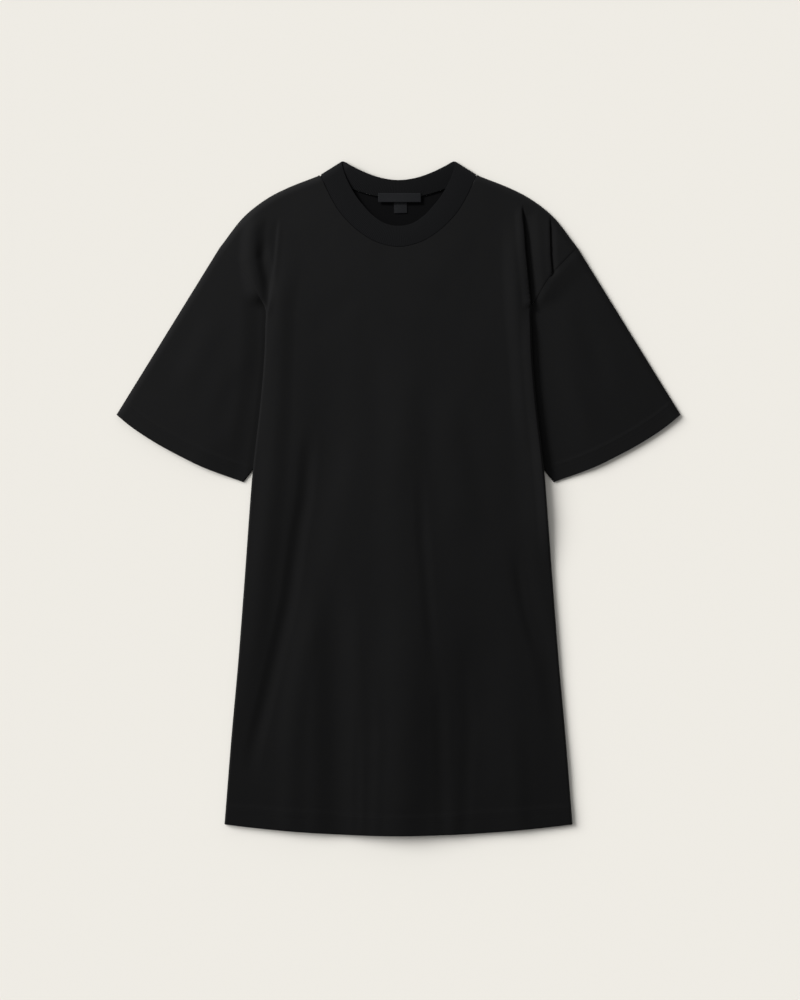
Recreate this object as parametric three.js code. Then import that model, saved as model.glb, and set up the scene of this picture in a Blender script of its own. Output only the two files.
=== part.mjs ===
import * as THREE from "three";

// A crew-neck t-shirt dress in heavy black jersey, laid flat on its back with the front up.
// Millimetres, +Z up. The neck points to +Y and the hem to -Y.
// The origin is on the surface that the dress lies on, under the middle of its outline.
// Left and right are as seen from above.

// Cloth
const CLOTH = 1.3; // heavy jersey
const RIB = 2; // rib folded double
const WOVEN = 1; // labels
const SEAM_GAP = 0.4; // between two pieces at a seam
const CURVED_GAP = 0.8; // between two pieces at a seam with a tight curve
const NOTCH_GAP = 1.6; // more where the neckband turns over a shoulder
const HEM_RAISE = 0.5; // how far a turned hem stands proud of the cloth
const BODY_HEM = 25; // depth of the turned hem on the skirt
const CUFF_HEM = 22; // depth of the turned hem on a sleeve
const HEM_STEP = 2; // width over which the hem's thickness starts

// Heights of the middle of a wall over the surface
const LYING = CLOTH / 2; // a layer that lies on the surface
const CHEST_HEIGHT = 7; // front over the chest
const HEM_LIFT = 6; // how much higher the front stands at the middle of the hem
const NECK_HEIGHT = 6.2; // front of the neckband
const NECK_FOLD_HEIGHT = 2.2; // neckband where it turns at a shoulder
const SEAM_HEIGHT = 5.2; // front at the seam that shows on the upper armhole
const OVER_SLEEVE = 3.9; // edge of the front where it lies on a sleeve
const SIDE_DOWN = 0.3; // edge of the front where it comes down to the surface
const SLEEVE_HEIGHT = 5.4; // upper layer of a sleeve at its fullest
const SLEEVE_PINCHED = 2.3; // upper layer of a sleeve under the front
const SLEEVE_EDGE = 2.1; // outermost line of a sleeve's upper fold

// Widths, seen from above, over which the cloth changes height
const ROLL = 9; // an edge that turns down
const SEAM_ROLL = 6; // the front beside the armhole seam
const PINCH_START = 4; // a sleeve beside the front's fold
const PINCH_WIDTH = 50;
const UNDERARM_WIDTH = 70; // a sleeve beside its underarm edge
const UNDERARM_LIP = 1.3; // from a sleeve's underarm edge to its flat layers
const TOP_LIP = 2.6; // from a sleeve's upper fold to its lower layer
const LIFT_START_Y = 150; // where the front starts to rise towards the hem
const CUFF_CLEAR_Y = -6; // where the front's edge is down again past the sleeve

// Outline of the right half. The left half is its mirror.
const SHOULDER = [
  { x: 233.8, y: 328.5 },
  { x: 202.4, y: 368.5 },
  { x: 173.6, y: 391.5 },
  { x: 147.4, y: 405.5 },
  { x: 103.2, y: 423 },
];
const ARMHOLE_SHOWN = [
  { x: 233.8, y: 328.5 },
  { x: 218, y: 312.5 },
  { x: 197, y: 289 },
  { x: 184, y: 268 },
  { x: 173.6, y: 249 },
];
const ARMHOLE_HIDDEN = [
  { x: 165.6, y: 221 },
  { x: 164, y: 188 },
  { x: 165.4, y: 155 },
  { x: 168, y: 124 },
];
const FOLD_EDGE = [
  { x: 173.6, y: 225 },
  { x: 175, y: 185 },
  { x: 180.1, y: 124 },
  { x: 187.4, y: 61 },
  { x: 191.6, y: 22 },
];
const SIDE = [
  { x: 201.1, y: -106 },
  { x: 209.2, y: -211 },
  { x: 218.6, y: -316 },
  { x: 227.3, y: -426 },
];
const UNDERARM = [
  { x: 168, y: 124 },
  { x: 180.6, y: 62 },
  { x: 190.6, y: 39 },
  { x: 203.7, y: 22 },
];
const CUFF = [
  { x: 203.7, y: 22 },
  { x: 254.8, y: 40.6 },
  { x: 286.2, y: 55.8 },
  { x: 317.7, y: 73 },
  { x: 349.1, y: 93.6 },
  { x: 368.8, y: 109.7 },
];
const HEM_MIDDLE_Y = -441.5;
const BACK_INSET = 1.4; // from the front's outline to the back's
const BACK_HEM_SHORT = 4; // how far the back's hem stays inside the front's
const ARM_LENGTH = 335; // along the front's edge from the shoulder to just past the cuff

// Sections of the neckband, from the middle of the back round a shoulder to the middle of the front
const NECK_SECTIONS = [
  { seamX: 0, seamY: 394, freeX: 0, freeY: 417.2 },
  { seamX: 29.5, seamY: 396.6, freeX: 21, freeY: 419.6 },
  { seamX: 58.3, seamY: 405, freeX: 42.6, freeY: 426.7 },
  { seamX: 84, seamY: 416.5, freeX: 61, freeY: 435.5 },
  { seamX: 100.7, seamY: 424.2, freeX: 73.4, freeY: 441.4 },
  { seamX: 94.6, seamY: 407.1, freeX: 70.4, freeY: 425 },
  { seamX: 79.8, seamY: 379.6, freeX: 57.6, freeY: 399.2 },
  { seamX: 65.5, seamY: 362.4, freeX: 44.4, freeY: 382 },
  { seamX: 49.1, seamY: 348.1, freeX: 31.5, freeY: 369 },
  { seamX: 28.8, seamY: 336.3, freeX: 17.6, freeY: 360.4 },
  { seamX: 0, seamY: 330, freeX: 0, freeY: 357 },
];
const SHOULDER_SECTION = 4; // row of the section on the shoulder fold
const NECK_STEPS = 3; // walls of the band from one row to the next
const BAND_STEPS = 3; // walls across the band

// Soft ridges (rise over 0) and valleys (rise under 0) of the front: the path, half the width, the height
const FOLDS = [
  {
    path: [
      [-148, 376], [-146, 312], [-156, 255], [-159, 185], [-161, 110],
      [-167, 20], [-180, -90], [-195, -220], [-212, -350],
    ],
    half: 24,
    rise: 2.4,
  },
  { path: [[-171, 358], [-172, 305], [-174, 258]], half: 15, rise: -3.2 },
  { path: [[-194, 356], [-191, 300]], half: 12, rise: 1.4 },
  {
    path: [
      [-112, 290], [-94, 180], [-90, 77], [-104, 10], [-119, -50],
      [-134, -133], [-156, -225], [-176, -310], [-190, -395],
    ],
    half: 44,
    rise: -2.6,
  },
  {
    path: [
      [-98, -60], [-84, -150], [-81, -260],
      [-79, -370], [-78, -480], [-78, -600],
    ],
    half: 34,
    rise: -4,
  },
  { path: [[-110, -110], [-127, -200], [-140, -300], [-143, -420], [-143, -560]], half: 22, rise: 1.4 },
  { path: [[-2, 240], [8, 120], [2, 25], [2, -60], [5, -150]], half: 42, rise: 2 },
  {
    path: [
      [4, -30], [8, -150], [10, -250], [7, -330],
      [2, -436], [0, -560], [0, -700],
    ],
    half: 48,
    rise: 4.2,
  },
  { path: [[58, 160], [68, 77], [78, 10], [88, -70]], half: 34, rise: 1.6 },
  { path: [[92, -90], [104, -200], [101, -320], [108, -440], [110, -560]], half: 48, rise: -2.2 },
  { path: [[150, -33], [168, -127], [196, -222], [214, -350]], half: 22, rise: -1.8 },
  { path: [[150, 376], [153, 312], [156, 250], [166, 124], [174, 50]], half: 20, rise: 2.8 },
  { path: [[167, 374], [170, 312], [177, 262]], half: 11, rise: -3.2 },
  { path: [[202, 366], [204, 288]], half: 9, rise: -2.4 },
];
const FOLD_TAPER = 0.3; // share of a fold's length over which each end fades

// Grids of the walls
const EDGE_STEPS = [0, 0.8, 2.8, 5.8, 9.6]; // from an edge that turns down
const SHOULDER_STEP = 12.5;
const NECK_COLUMNS = 18;
const ARM_ROWS = 19;
const SKIRT_ROWS = 14;
const SLEEVE_STATIONS = 13;
const SLEEVE_COLUMNS = 10;
const SLEEVE_WIDTH = 210; // mean width of a flat sleeve
const SLEEVE_LENGTH = 250; // mean length from the armhole to the cuff
const LINE_POINTS = 80; // points along a line that distances are taken from
const BACK_NECK_POINTS = 12;
const BACK_HEM_POINTS = 12;

// Labels inside the back of the neck: middle, underside and size
const LABEL = { x: 2.6, y: 394.3, z: 2.9, width: 59, depth: 12.4 };
const TAB = { x: 2.6, y: 382.2, z: 1.6, width: 17, depth: 16.5 };

const FINISHES = {
  jersey: { color: 0x1a1a1b, roughness: 0.9, metalness: 0 },
  rib: { color: 0x18191b, roughness: 0.92, metalness: 0 },
  woven: { color: 0x232426, roughness: 0.6, metalness: 0 },
};

// Shapes and distances in the plan of the dress

const smooth = (t) => THREE.MathUtils.smoothstep(t, 0, 1);
const mix = THREE.MathUtils.lerp;
const flip = (point) => new THREE.Vector3(-point.x, point.y, point.z);
const last = (list) => list[list.length - 1];

// A smooth curve through the rows of a table
function curveThrough(rows) {
  const points = rows.map((row) => new THREE.Vector3(row.x, row.y, 0));
  return new THREE.CatmullRomCurve3(points, false, "centripetal");
}

// A line of points, each moved to the left of the line's direction
function movedLeft(points, distanceAt) {
  return points.map((point, i) => {
    const before = points[Math.max(i - 1, 0)];
    const after = points[Math.min(i + 1, points.length - 1)];
    const way = after.clone().sub(before).normalize();
    const distance = distanceAt(point);
    return new THREE.Vector3(point.x - way.y * distance, point.y + way.x * distance, point.z);
  });
}

// The nearest place on a line of points: how far it is, and its share of the line
function nearest(points, x, y) {
  let best = { distance: Infinity, share: 0 };
  for (let i = 0; i < points.length - 1; i++) {
    const a = points[i];
    const dx = points[i + 1].x - a.x;
    const dy = points[i + 1].y - a.y;
    const t = THREE.MathUtils.clamp(((x - a.x) * dx + (y - a.y) * dy) / (dx * dx + dy * dy), 0, 1);
    const distance = Math.hypot(x - a.x - t * dx, y - a.y - t * dy);
    if (distance < best.distance) best = { distance, share: (i + t) / (points.length - 1) };
  }
  return best;
}

// The point at a given x on a line of points that runs towards +X
function atX(points, x) {
  const i = THREE.MathUtils.clamp(points.findIndex((p) => p.x >= x), 1, points.length - 1);
  const a = points[i - 1];
  const b = points[i];
  return a.clone().lerp(b, THREE.MathUtils.clamp((x - a.x) / (b.x - a.x), 0, 1));
}

// How far an edge that turns down has risen at a distance from it, from 0 to 1
function roll(distance, width) {
  const t = THREE.MathUtils.clamp(1 - distance / width, 0, 1);
  return Math.sqrt(1 - t * t);
}

// A point of the patch between four curves that meet at their ends
function patch({ top, bottom, left, right }, s, r) {
  const point = new THREE.Vector3();
  point.addScaledVector(top(s), 1 - r).addScaledVector(bottom(s), r);
  point.addScaledVector(left(r), 1 - s).addScaledVector(right(r), s);
  point.addScaledVector(top(0), -(1 - r) * (1 - s)).addScaledVector(top(1), -(1 - r) * s);
  point.addScaledVector(bottom(0), -r * (1 - s)).addScaledVector(bottom(1), -r * s);
  return point;
}

// A closed wall of cloth around a grid of points. A closed one joins its last column to its first.
// Its outer side faces along each column crossed with along each row, and raise thickens that side.
function wall(rows, { closed = false, thickness = CLOTH, raise = () => 0 } = {}) {
  const height = rows.length;
  const width = rows[0].length;
  const column = (j) => (closed ? (j + width) % width : THREE.MathUtils.clamp(j, 0, width - 1));
  const at = (i, j) => rows[THREE.MathUtils.clamp(i, 0, height - 1)][column(j)];
  const places = [];
  for (let i = 0; i < height; i++) {
    for (let j = 0; j < width; j++) {
      const along = at(i + 1, j).clone().sub(at(i - 1, j));
      const across = at(i, j + 1).clone().sub(at(i, j - 1));
      const normal = along.cross(across).normalize();
      const out = at(i, j).clone().addScaledVector(normal, thickness / 2 + raise(i, j));
      const under = at(i, j).clone().addScaledVector(normal, -thickness / 2);
      places.push(...out.toArray(), ...under.toArray());
    }
  }
  const outer = (i, j) => 2 * (i * width + column(j));
  const inner = (i, j) => outer(i, j) + 1;
  const faces = [];
  const quad = (a, b, c, d) => faces.push(a, b, c, a, c, d);
  const columns = closed ? width : width - 1;
  for (let i = 0; i < height - 1; i++) {
    for (let j = 0; j < columns; j++) {
      quad(outer(i, j), outer(i + 1, j), outer(i + 1, j + 1), outer(i, j + 1));
      quad(inner(i, j), inner(i, j + 1), inner(i + 1, j + 1), inner(i + 1, j));
    }
    if (closed) continue;
    const end = width - 1;
    quad(outer(i, 0), inner(i, 0), inner(i + 1, 0), outer(i + 1, 0));
    quad(outer(i, end), outer(i + 1, end), inner(i + 1, end), inner(i, end));
  }
  const foot = height - 1;
  for (let j = 0; j < columns; j++) {
    quad(outer(0, j), outer(0, j + 1), inner(0, j + 1), inner(0, j));
    quad(outer(foot, j), inner(foot, j), inner(foot, j + 1), outer(foot, j + 1));
  }
  const geometry = new THREE.BufferGeometry();
  geometry.setAttribute("position", new THREE.Float32BufferAttribute(places, 3));
  geometry.setIndex(faces);
  geometry.computeVertexNormals();
  return geometry;
}

// The mirror image of a geometry across the middle of the dress
function mirrored(geometry) {
  const copy = geometry.clone().scale(-1, 1, 1);
  const index = copy.getIndex();
  for (let i = 0; i < index.count; i += 3) {
    const second = index.getX(i + 1);
    index.setX(i + 1, index.getX(i + 2));
    index.setX(i + 2, second);
  }
  copy.computeVertexNormals();
  return copy;
}

// Neckband: one ring that lies on the surface behind and on the front before

const mirroredSection = (row) => ({ ...row, seamX: -row.seamX, freeX: -row.freeX });
const neckRows = [...NECK_SECTIONS, ...NECK_SECTIONS.slice(1, -1).reverse().map(mirroredSection)];

function neckCurve(xName, yName) {
  const points = neckRows.map((row) => new THREE.Vector3(row[xName], row[yName], 0));
  return new THREE.CatmullRomCurve3(points, true, "centripetal");
}

const seamCurve = neckCurve("seamX", "seamY");
const freeCurve = neckCurve("freeX", "freeY");
const seamAt = (section) => seamCurve.getPoint(section / neckRows.length);
const freeAt = (section) => freeCurve.getPoint(section / neckRows.length);
const shoulderFold = [seamAt(SHOULDER_SECTION), freeAt(SHOULDER_SECTION)];

// Height of the band at a place of a section, which is counted from the middle of the back
function bandHeight(section, x, y) {
  const past = Math.min(section, neckRows.length - section) - SHOULDER_SECTION;
  if (past < 0) return mix(RIB / 2, NECK_FOLD_HEIGHT, smooth(2 * past + 1));
  const inside = nearest(shoulderFold, Math.abs(x), y).distance;
  return mix(NECK_FOLD_HEIGHT, NECK_HEIGHT, roll(inside, ROLL));
}

function neckbandGeometry() {
  const stations = neckRows.length * NECK_STEPS;
  const rows = [];
  for (let across = 0; across <= BAND_STEPS; across++) {
    const ring = [];
    for (let i = 0; i < stations; i++) {
      const section = i / NECK_STEPS;
      const point = seamAt(section).lerp(freeAt(section), across / BAND_STEPS);
      point.z = bandHeight(section, point.x, point.y);
      ring.push(point);
    }
    rows.push(ring);
  }
  return wall(rows, { closed: true, thickness: RIB });
}

// Front: a patch between the shoulders with the neckline, the hem and the two side edges

const topHalf = SHOULDER[0].x;
const notch = last(SHOULDER);
const hemCorner = last(SIDE);
const crossing = last(ARMHOLE_SHOWN); // where the front's fold covers the armhole seam
const shoulderLine = curveThrough(SHOULDER).getPoints(LINE_POINTS);
const frontEdge = curveThrough([...ARMHOLE_SHOWN, ...FOLD_EDGE, ...SIDE]);
const frontEdgeLine = frontEdge.getSpacedPoints(LINE_POINTS);
const foldLine = curveThrough([crossing, ...FOLD_EDGE]).getSpacedPoints(LINE_POINTS);
const foldPaths = FOLDS.map((fold) => fold.path.map(([x, y]) => new THREE.Vector3(x, y, 0)));

// The front's neckline from the left shoulder to the right, just outside the band's seam
function necklinePoints() {
  const points = [];
  for (let i = 0; i <= LINE_POINTS; i++) {
    const section = mix(neckRows.length - SHOULDER_SECTION, SHOULDER_SECTION, i / LINE_POINTS);
    points.push(seamAt(section));
  }
  const fromNotch = (p) => Math.hypot(Math.abs(p.x) - notch.x, p.y - notch.y);
  return movedLeft(points, (p) => -CURVED_GAP - NOTCH_GAP * (1 - smooth(fromNotch(p) / (2 * ROLL))));
}

const neckline = necklinePoints();
const topLine = [
  ...shoulderLine.slice(0, -1).map(flip),
  ...neckline,
  ...shoulderLine.slice(0, -1).reverse(),
];

function hemPoint(s) {
  const x = mix(-hemCorner.x, hemCorner.x, s);
  return new THREE.Vector3(x, mix(HEM_MIDDLE_Y, hemCorner.y, (x / hemCorner.x) ** 2), 0);
}

const FRONT = {
  top: (s) => atX(topLine, mix(-topHalf, topHalf, s)),
  bottom: hemPoint,
  left: (r) => flip(frontEdge.getPointAt(r)),
  right: (r) => frontEdge.getPointAt(r),
};

// Height that the front's side edge comes down to
function sideBase(y) {
  if (y > crossing.y) return mix(OVER_SLEEVE, SEAM_HEIGHT, smooth((y - crossing.y) / PINCH_WIDTH));
  return mix(SIDE_DOWN, OVER_SLEEVE, smooth((y - CUFF_CLEAR_Y) / (UNDERARM[2].y - CUFF_CLEAR_Y)));
}

function frontHeight(x, y) {
  const down = THREE.MathUtils.clamp((LIFT_START_Y - y) / (LIFT_START_Y - HEM_MIDDLE_Y), 0, 1);
  const bow = Math.max(0, 1 - (x / hemCorner.x) ** 2) ** 2;
  let height = CHEST_HEIGHT + HEM_LIFT * smooth(down) * bow;
  FOLDS.forEach((fold, i) => {
    const { distance, share } = nearest(foldPaths[i], x, y);
    if (distance >= fold.half) return;
    const ends = smooth(share / FOLD_TAPER) * smooth((1 - share) / FOLD_TAPER);
    height += fold.rise * ends * 0.5 * (1 + Math.cos((Math.PI * distance) / fold.half));
  });
  const fromSide = nearest(frontEdgeLine, Math.abs(x), y).distance;
  height = mix(sideBase(y), height, roll(fromSide, y > crossing.y ? SEAM_ROLL : ROLL));
  return mix(SIDE_DOWN, height, roll(nearest(shoulderLine, Math.abs(x), y).distance, ROLL));
}

// Shares of the front's width at its columns, which turn down at both sides
function frontColumns() {
  const places = [...EDGE_STEPS];
  const start = last(EDGE_STEPS);
  const count = Math.round((topHalf - notch.x - start) / SHOULDER_STEP);
  for (let i = 1; i <= count; i++) places.push(mix(start, topHalf - notch.x, i / count));
  const left = places.map((place) => place / (2 * topHalf));
  const necklineCurve = new THREE.CatmullRomCurve3(neckline);
  const neck = [];
  for (let i = 1; i < NECK_COLUMNS; i++) {
    neck.push(0.5 + necklineCurve.getPointAt(i / NECK_COLUMNS).x / (2 * topHalf));
  }
  return [...left, ...neck, ...left.map((s) => 1 - s).reverse()];
}

// Shares of the front's length at its rows, which turn down at the shoulders
function frontRows() {
  const length = frontEdge.getLength();
  const rows = EDGE_STEPS.map((step) => step / length);
  const start = last(rows);
  const hemStart = 1 - (BODY_HEM + HEM_STEP) / length;
  for (let i = 1; i <= ARM_ROWS; i++) rows.push(mix(start, ARM_LENGTH / length, i / ARM_ROWS));
  for (let i = 1; i <= SKIRT_ROWS; i++) rows.push(mix(ARM_LENGTH / length, hemStart, i / SKIRT_ROWS));
  return [...rows, 1 - BODY_HEM / length, 1];
}

function frontPanelGeometry() {
  const columns = frontColumns();
  const rows = frontRows().map((r) =>
    columns.map((s) => {
      const point = patch(FRONT, s, r);
      point.z = frontHeight(point.x, point.y);
      return point;
    }),
  );
  return wall(rows, { raise: (i) => (i >= rows.length - 2 ? HEM_RAISE : 0) });
}

// Sleeves: tubes pressed flat, with the underarm edge first and the upper fold last

const armholeCurve = curveThrough([...ARMHOLE_SHOWN, ...ARMHOLE_HIDDEN]);
const armholeLine = armholeCurve.getSpacedPoints(LINE_POINTS);
const sleeveArmhole = movedLeft(armholeLine, () => CURVED_GAP).reverse();
const sleeveTopCurve = new THREE.CatmullRomCurve3(sleeveArmhole);
const underarmCurve = curveThrough([sleeveArmhole[0], ...UNDERARM.slice(1)]);
const underarmLine = underarmCurve.getPoints(LINE_POINTS);
const cuffCurve = curveThrough(CUFF);
const upperFold = new THREE.LineCurve3(last(sleeveArmhole), cuffCurve.getPoint(1));

const SLEEVE = {
  top: (s) => sleeveTopCurve.getPointAt(s),
  bottom: (s) => cuffCurve.getPointAt(s),
  left: (r) => underarmCurve.getPointAt(r),
  right: (r) => upperFold.getPoint(r),
};

function sleeveHeight(x, y) {
  const fromFront = nearest(foldLine, x, y).distance - PINCH_START;
  const fromUnderarm = nearest(underarmLine, x, y).distance;
  const full = smooth(fromFront / PINCH_WIDTH) * smooth(fromUnderarm / UNDERARM_WIDTH);
  const fromFold = nearest([upperFold.v1, upperFold.v2], x, y).distance;
  return mix(SLEEVE_EDGE, mix(SLEEVE_PINCHED, SLEEVE_HEIGHT, full), roll(fromFold, ROLL));
}

// Shares of a sleeve's width at the points of its upper layer and its lower one
function sleeveColumns() {
  const lip = UNDERARM_LIP / SLEEVE_WIDTH;
  const turned = EDGE_STEPS.map((step) => 1 - step / SLEEVE_WIDTH).reverse();
  const upper = [lip];
  for (let i = 1; i < SLEEVE_COLUMNS; i++) upper.push(mix(lip, turned[0], i / SLEEVE_COLUMNS));
  upper.push(...turned);
  const lower = [];
  for (let i = 0; i <= SLEEVE_COLUMNS; i++) {
    lower.push(mix(1 - TOP_LIP / SLEEVE_WIDTH, lip, i / SLEEVE_COLUMNS));
  }
  return { upper, lower };
}

function sleeveGeometry() {
  const { upper, lower } = sleeveColumns();
  const hemShare = CUFF_HEM / SLEEVE_LENGTH;
  const stations = [];
  for (let i = 0; i <= SLEEVE_STATIONS; i++) {
    stations.push(mix(0, 1 - hemShare - HEM_STEP / SLEEVE_LENGTH, i / SLEEVE_STATIONS));
  }
  stations.push(1 - hemShare, 1);
  const rows = stations.map((r) => {
    const edge = patch(SLEEVE, 0, r).setZ((LYING + SLEEVE_PINCHED) / 2);
    const above = upper.map((s) => {
      const point = patch(SLEEVE, s, r);
      return point.setZ(sleeveHeight(point.x, point.y));
    });
    return [edge, ...above, ...lower.map((s) => patch(SLEEVE, s, r).setZ(LYING))];
  });
  const isHem = (i, j) => i >= rows.length - 2 && j > 0 && j <= upper.length - 1;
  return wall(rows, { closed: true, raise: (i, j) => (isHem(i, j) ? HEM_RAISE : 0) });
}

// Back: flat on the surface, just inside the front's edges and up to the sleeves' lower layers

function backPanelGeometry() {
  const neck = [];
  for (let i = 0; i < BACK_NECK_POINTS; i++) {
    neck.push(seamAt((SHOULDER_SECTION * i) / BACK_NECK_POINTS));
  }
  const lower = (point) => new THREE.Vector3(point.x, point.y - SEAM_GAP - NOTCH_GAP / 2, 0);
  const shoulder = movedLeft(shoulderLine, () => BACK_INSET).reverse();
  const sleeveEdge = [1, ...sleeveColumns().lower, 0].map((s) => patch(SLEEVE, s, 0));
  const armhole = movedLeft(sleeveEdge, () => -SEAM_GAP);
  const underarm = movedLeft(underarmLine, () => -BACK_INSET).filter((p) => p.y > UNDERARM[2].y).slice(1);
  const side = movedLeft(frontEdgeLine, () => -BACK_INSET).filter((p) => p.y < UNDERARM[3].y);
  side.pop();
  const top = [...neck.map(lower), ...shoulder.slice(2, -2)];
  const right = [...top, ...armhole.slice(1, -1), ...underarm, ...side];
  const hem = [];
  for (let i = 0; i <= BACK_HEM_POINTS; i++) {
    const point = hemPoint(1 - i / BACK_HEM_POINTS);
    hem.push(new THREE.Vector3(point.x * (1 - BACK_INSET / hemCorner.x), point.y + BACK_HEM_SHORT, 0));
  }
  const outline = [...right, ...hem, ...right.slice(1).map(flip).reverse()];
  const shape = new THREE.Shape(outline.map((p) => new THREE.Vector2(p.x, p.y)));
  return new THREE.ExtrudeGeometry(shape, { depth: CLOTH, bevelEnabled: false });
}

function labelGeometry({ x, y, z, width, depth }) {
  return new THREE.BoxGeometry(width, depth, WOVEN).translate(x, y, z + WOVEN / 2);
}

// The dress

const jersey = new THREE.MeshStandardMaterial(FINISHES.jersey);
const rib = new THREE.MeshStandardMaterial(FINISHES.rib);
const woven = new THREE.MeshStandardMaterial(FINISHES.woven);

const dress = new THREE.Group();
function add(name, geometry, material) {
  const mesh = new THREE.Mesh(geometry, material);
  mesh.name = name;
  dress.add(mesh);
}

const rightSleeve = sleeveGeometry();
add("back_panel", backPanelGeometry(), jersey);
add("front_panel", frontPanelGeometry(), jersey);
add("sleeve_right", rightSleeve, jersey);
add("sleeve_left", mirrored(rightSleeve), jersey);
add("neckband", neckbandGeometry(), rib);
add("neck_label", labelGeometry(LABEL), woven);
add("size_tab", labelGeometry(TAB), woven);

export default dress;
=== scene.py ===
"""A plain black t-shirt dress in heavy jersey, laid flat with the front up."""

import logging
import math
from collections.abc import Callable
from dataclasses import dataclass
from enum import Enum

import bmesh
import bpy
import numpy as np
from mathutils import Matrix, Vector, noise


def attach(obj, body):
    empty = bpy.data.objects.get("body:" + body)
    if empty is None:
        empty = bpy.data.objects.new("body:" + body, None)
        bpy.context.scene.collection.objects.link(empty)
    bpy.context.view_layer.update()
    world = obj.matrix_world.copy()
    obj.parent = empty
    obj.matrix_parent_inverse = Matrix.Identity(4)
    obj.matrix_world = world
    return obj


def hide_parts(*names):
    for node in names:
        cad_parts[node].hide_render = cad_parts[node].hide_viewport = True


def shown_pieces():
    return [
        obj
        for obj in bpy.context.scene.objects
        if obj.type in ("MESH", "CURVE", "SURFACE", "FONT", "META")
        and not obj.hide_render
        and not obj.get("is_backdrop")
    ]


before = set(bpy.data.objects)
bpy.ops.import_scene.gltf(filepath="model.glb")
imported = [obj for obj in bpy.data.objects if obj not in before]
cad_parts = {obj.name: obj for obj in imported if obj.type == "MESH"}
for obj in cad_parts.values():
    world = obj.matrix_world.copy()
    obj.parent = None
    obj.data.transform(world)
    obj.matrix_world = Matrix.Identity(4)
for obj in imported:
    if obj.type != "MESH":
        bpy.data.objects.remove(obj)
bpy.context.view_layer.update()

log = logging.getLogger("dress")

Array = np.ndarray
Object = bpy.types.Object
Material = bpy.types.Material
Mesh = bmesh.types.BMesh
Curve = Callable[[Array], Array]
Surface = Callable[[Array, float], Array]
Value = float | tuple[float, ...] | bpy.types.NodeSocket

MM = 0.001
BODY = "root"

# Cloth thicknesses
JERSEY = 1.2 * MM
RIB = 1.8 * MM
TAPE = 0.5 * MM

# Radii of cut and folded edges, and how near points have to be for a seam to join them
SOFT_EDGE = 0.3 * MM
RIB_EDGE = 0.7 * MM
TAPE_EDGE = 0.12 * MM
SEWN = 0.02 * MM

# Heights of the middle of a wall over the surface that the dress lies on
LYING = 0.65 * MM
CHEST_HEIGHT = 7.0 * MM
HEM_LIFT = 6.0 * MM
NECK_HEIGHT = 6.2 * MM
NECK_FOLD_HEIGHT = 2.2 * MM
SEAM_STEP = 0.5 * MM
OVER_BACK = 2.05 * MM
OVER_SLEEVE = 3.9 * MM
SIDE_DOWN = 0.4 * MM
SLEEVE_PINCHED = 2.05 * MM
SLEEVE_EDGE = 2.1 * MM

# Widths, seen from above, over which the cloth changes height
ROLL = 9 * MM
SEAM_ROLL = 3 * MM
SIDE_ROLL = 2.4 * MM
PINCH_START = 4 * MM
PINCH_WIDTH = 22 * MM
UNDERARM_WIDTH = 70 * MM
LIFT_START_Y = 150 * MM
CUFF_CLEAR_Y = -6 * MM

# Hems
BODY_HEM = 25 * MM
CUFF_HEM = 22 * MM
HEM_RAISE = 0.45 * MM
HEM_STEP = 2 * MM
NEEDLE_APART = 5.5 * MM
STITCH_IN = 1.6 * MM
THREAD_OVER = 0.05 * MM

# Rows of x and y in millimetres, on the right half; the left half is the mirror
SHOULDER = [(233.8, 328.5), (202.4, 368.5), (173.6, 391.5), (147.4, 405.5), (103.2, 423.0)]
ARMHOLE_SHOWN = [(233.8, 328.5), (218.0, 312.5), (197.0, 289.0), (184.0, 268.0), (173.6, 249.0)]
ARMHOLE_HIDDEN = [(165.6, 221.0), (164.0, 188.0), (165.4, 155.0), (168.0, 124.0)]
FOLD_EDGE = [(173.6, 225.0), (175.0, 185.0), (180.1, 124.0), (187.4, 61.0), (191.6, 22.0)]
SIDE = [(201.1, -106.0), (209.2, -211.0), (218.6, -316.0), (227.3, -426.0)]
UNDERARM = [(168.0, 124.0), (180.6, 62.0), (190.6, 39.0), (203.7, 22.0)]
CUFF = [(203.7, 22.0), (254.8, 40.6), (286.2, 55.8), (317.7, 73.0), (349.1, 93.6), (368.8, 109.7)]
HEM_MIDDLE_Y = -440.8 * MM
BACK_INSET = 1.4 * MM
BACK_HEM_SHORT = 4 * MM

# Sections of the neckband from the middle of the back to the middle of the front:
# x and y of the seam edge, then x and y of the free edge, in millimetres
NECK_SECTIONS = [
    (0.0, 394.0, 0.0, 417.2),
    (29.5, 396.6, 21.0, 419.6),
    (58.3, 405.0, 42.6, 426.7),
    (84.0, 416.5, 61.0, 435.5),
    (100.7, 424.2, 73.4, 441.4),
    (94.6, 407.1, 70.4, 425.0),
    (79.8, 379.6, 57.6, 399.2),
    (65.5, 362.4, 44.4, 382.0),
    (49.1, 348.1, 31.5, 369.0),
    (28.8, 336.3, 17.6, 360.4),
    (0.0, 330.0, 0.0, 357.0),
]
SHOULDER_SECTION = 4
FRONT_SECTION = len(NECK_SECTIONS) - 1
NECK_ROWS = 2 * FRONT_SECTION


def smooth(t: Array) -> Array:
    """Ease from 0 to 1, flat at both ends."""
    t = np.clip(t, 0.0, 1.0)
    return t * t * (3.0 - 2.0 * t)


def mix(a: float | Array, b: float | Array, t: float | Array) -> Array:
    """Return the value a share t of the way from a to b."""
    return a + (b - a) * t


def roll(distance: Array, width: float) -> Array:
    """Return how far an edge that turns down has risen at a distance from it, from 0 to 1."""
    t = np.clip(1.0 - distance / width, 0.0, 1.0)
    return np.sqrt(1.0 - t * t)


def lengths_along(points: Array) -> Array:
    """Return the distance along a line of points at each of them."""
    return np.concatenate([[0.0], np.cumsum(np.linalg.norm(np.diff(points, axis=0), axis=1))])


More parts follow.
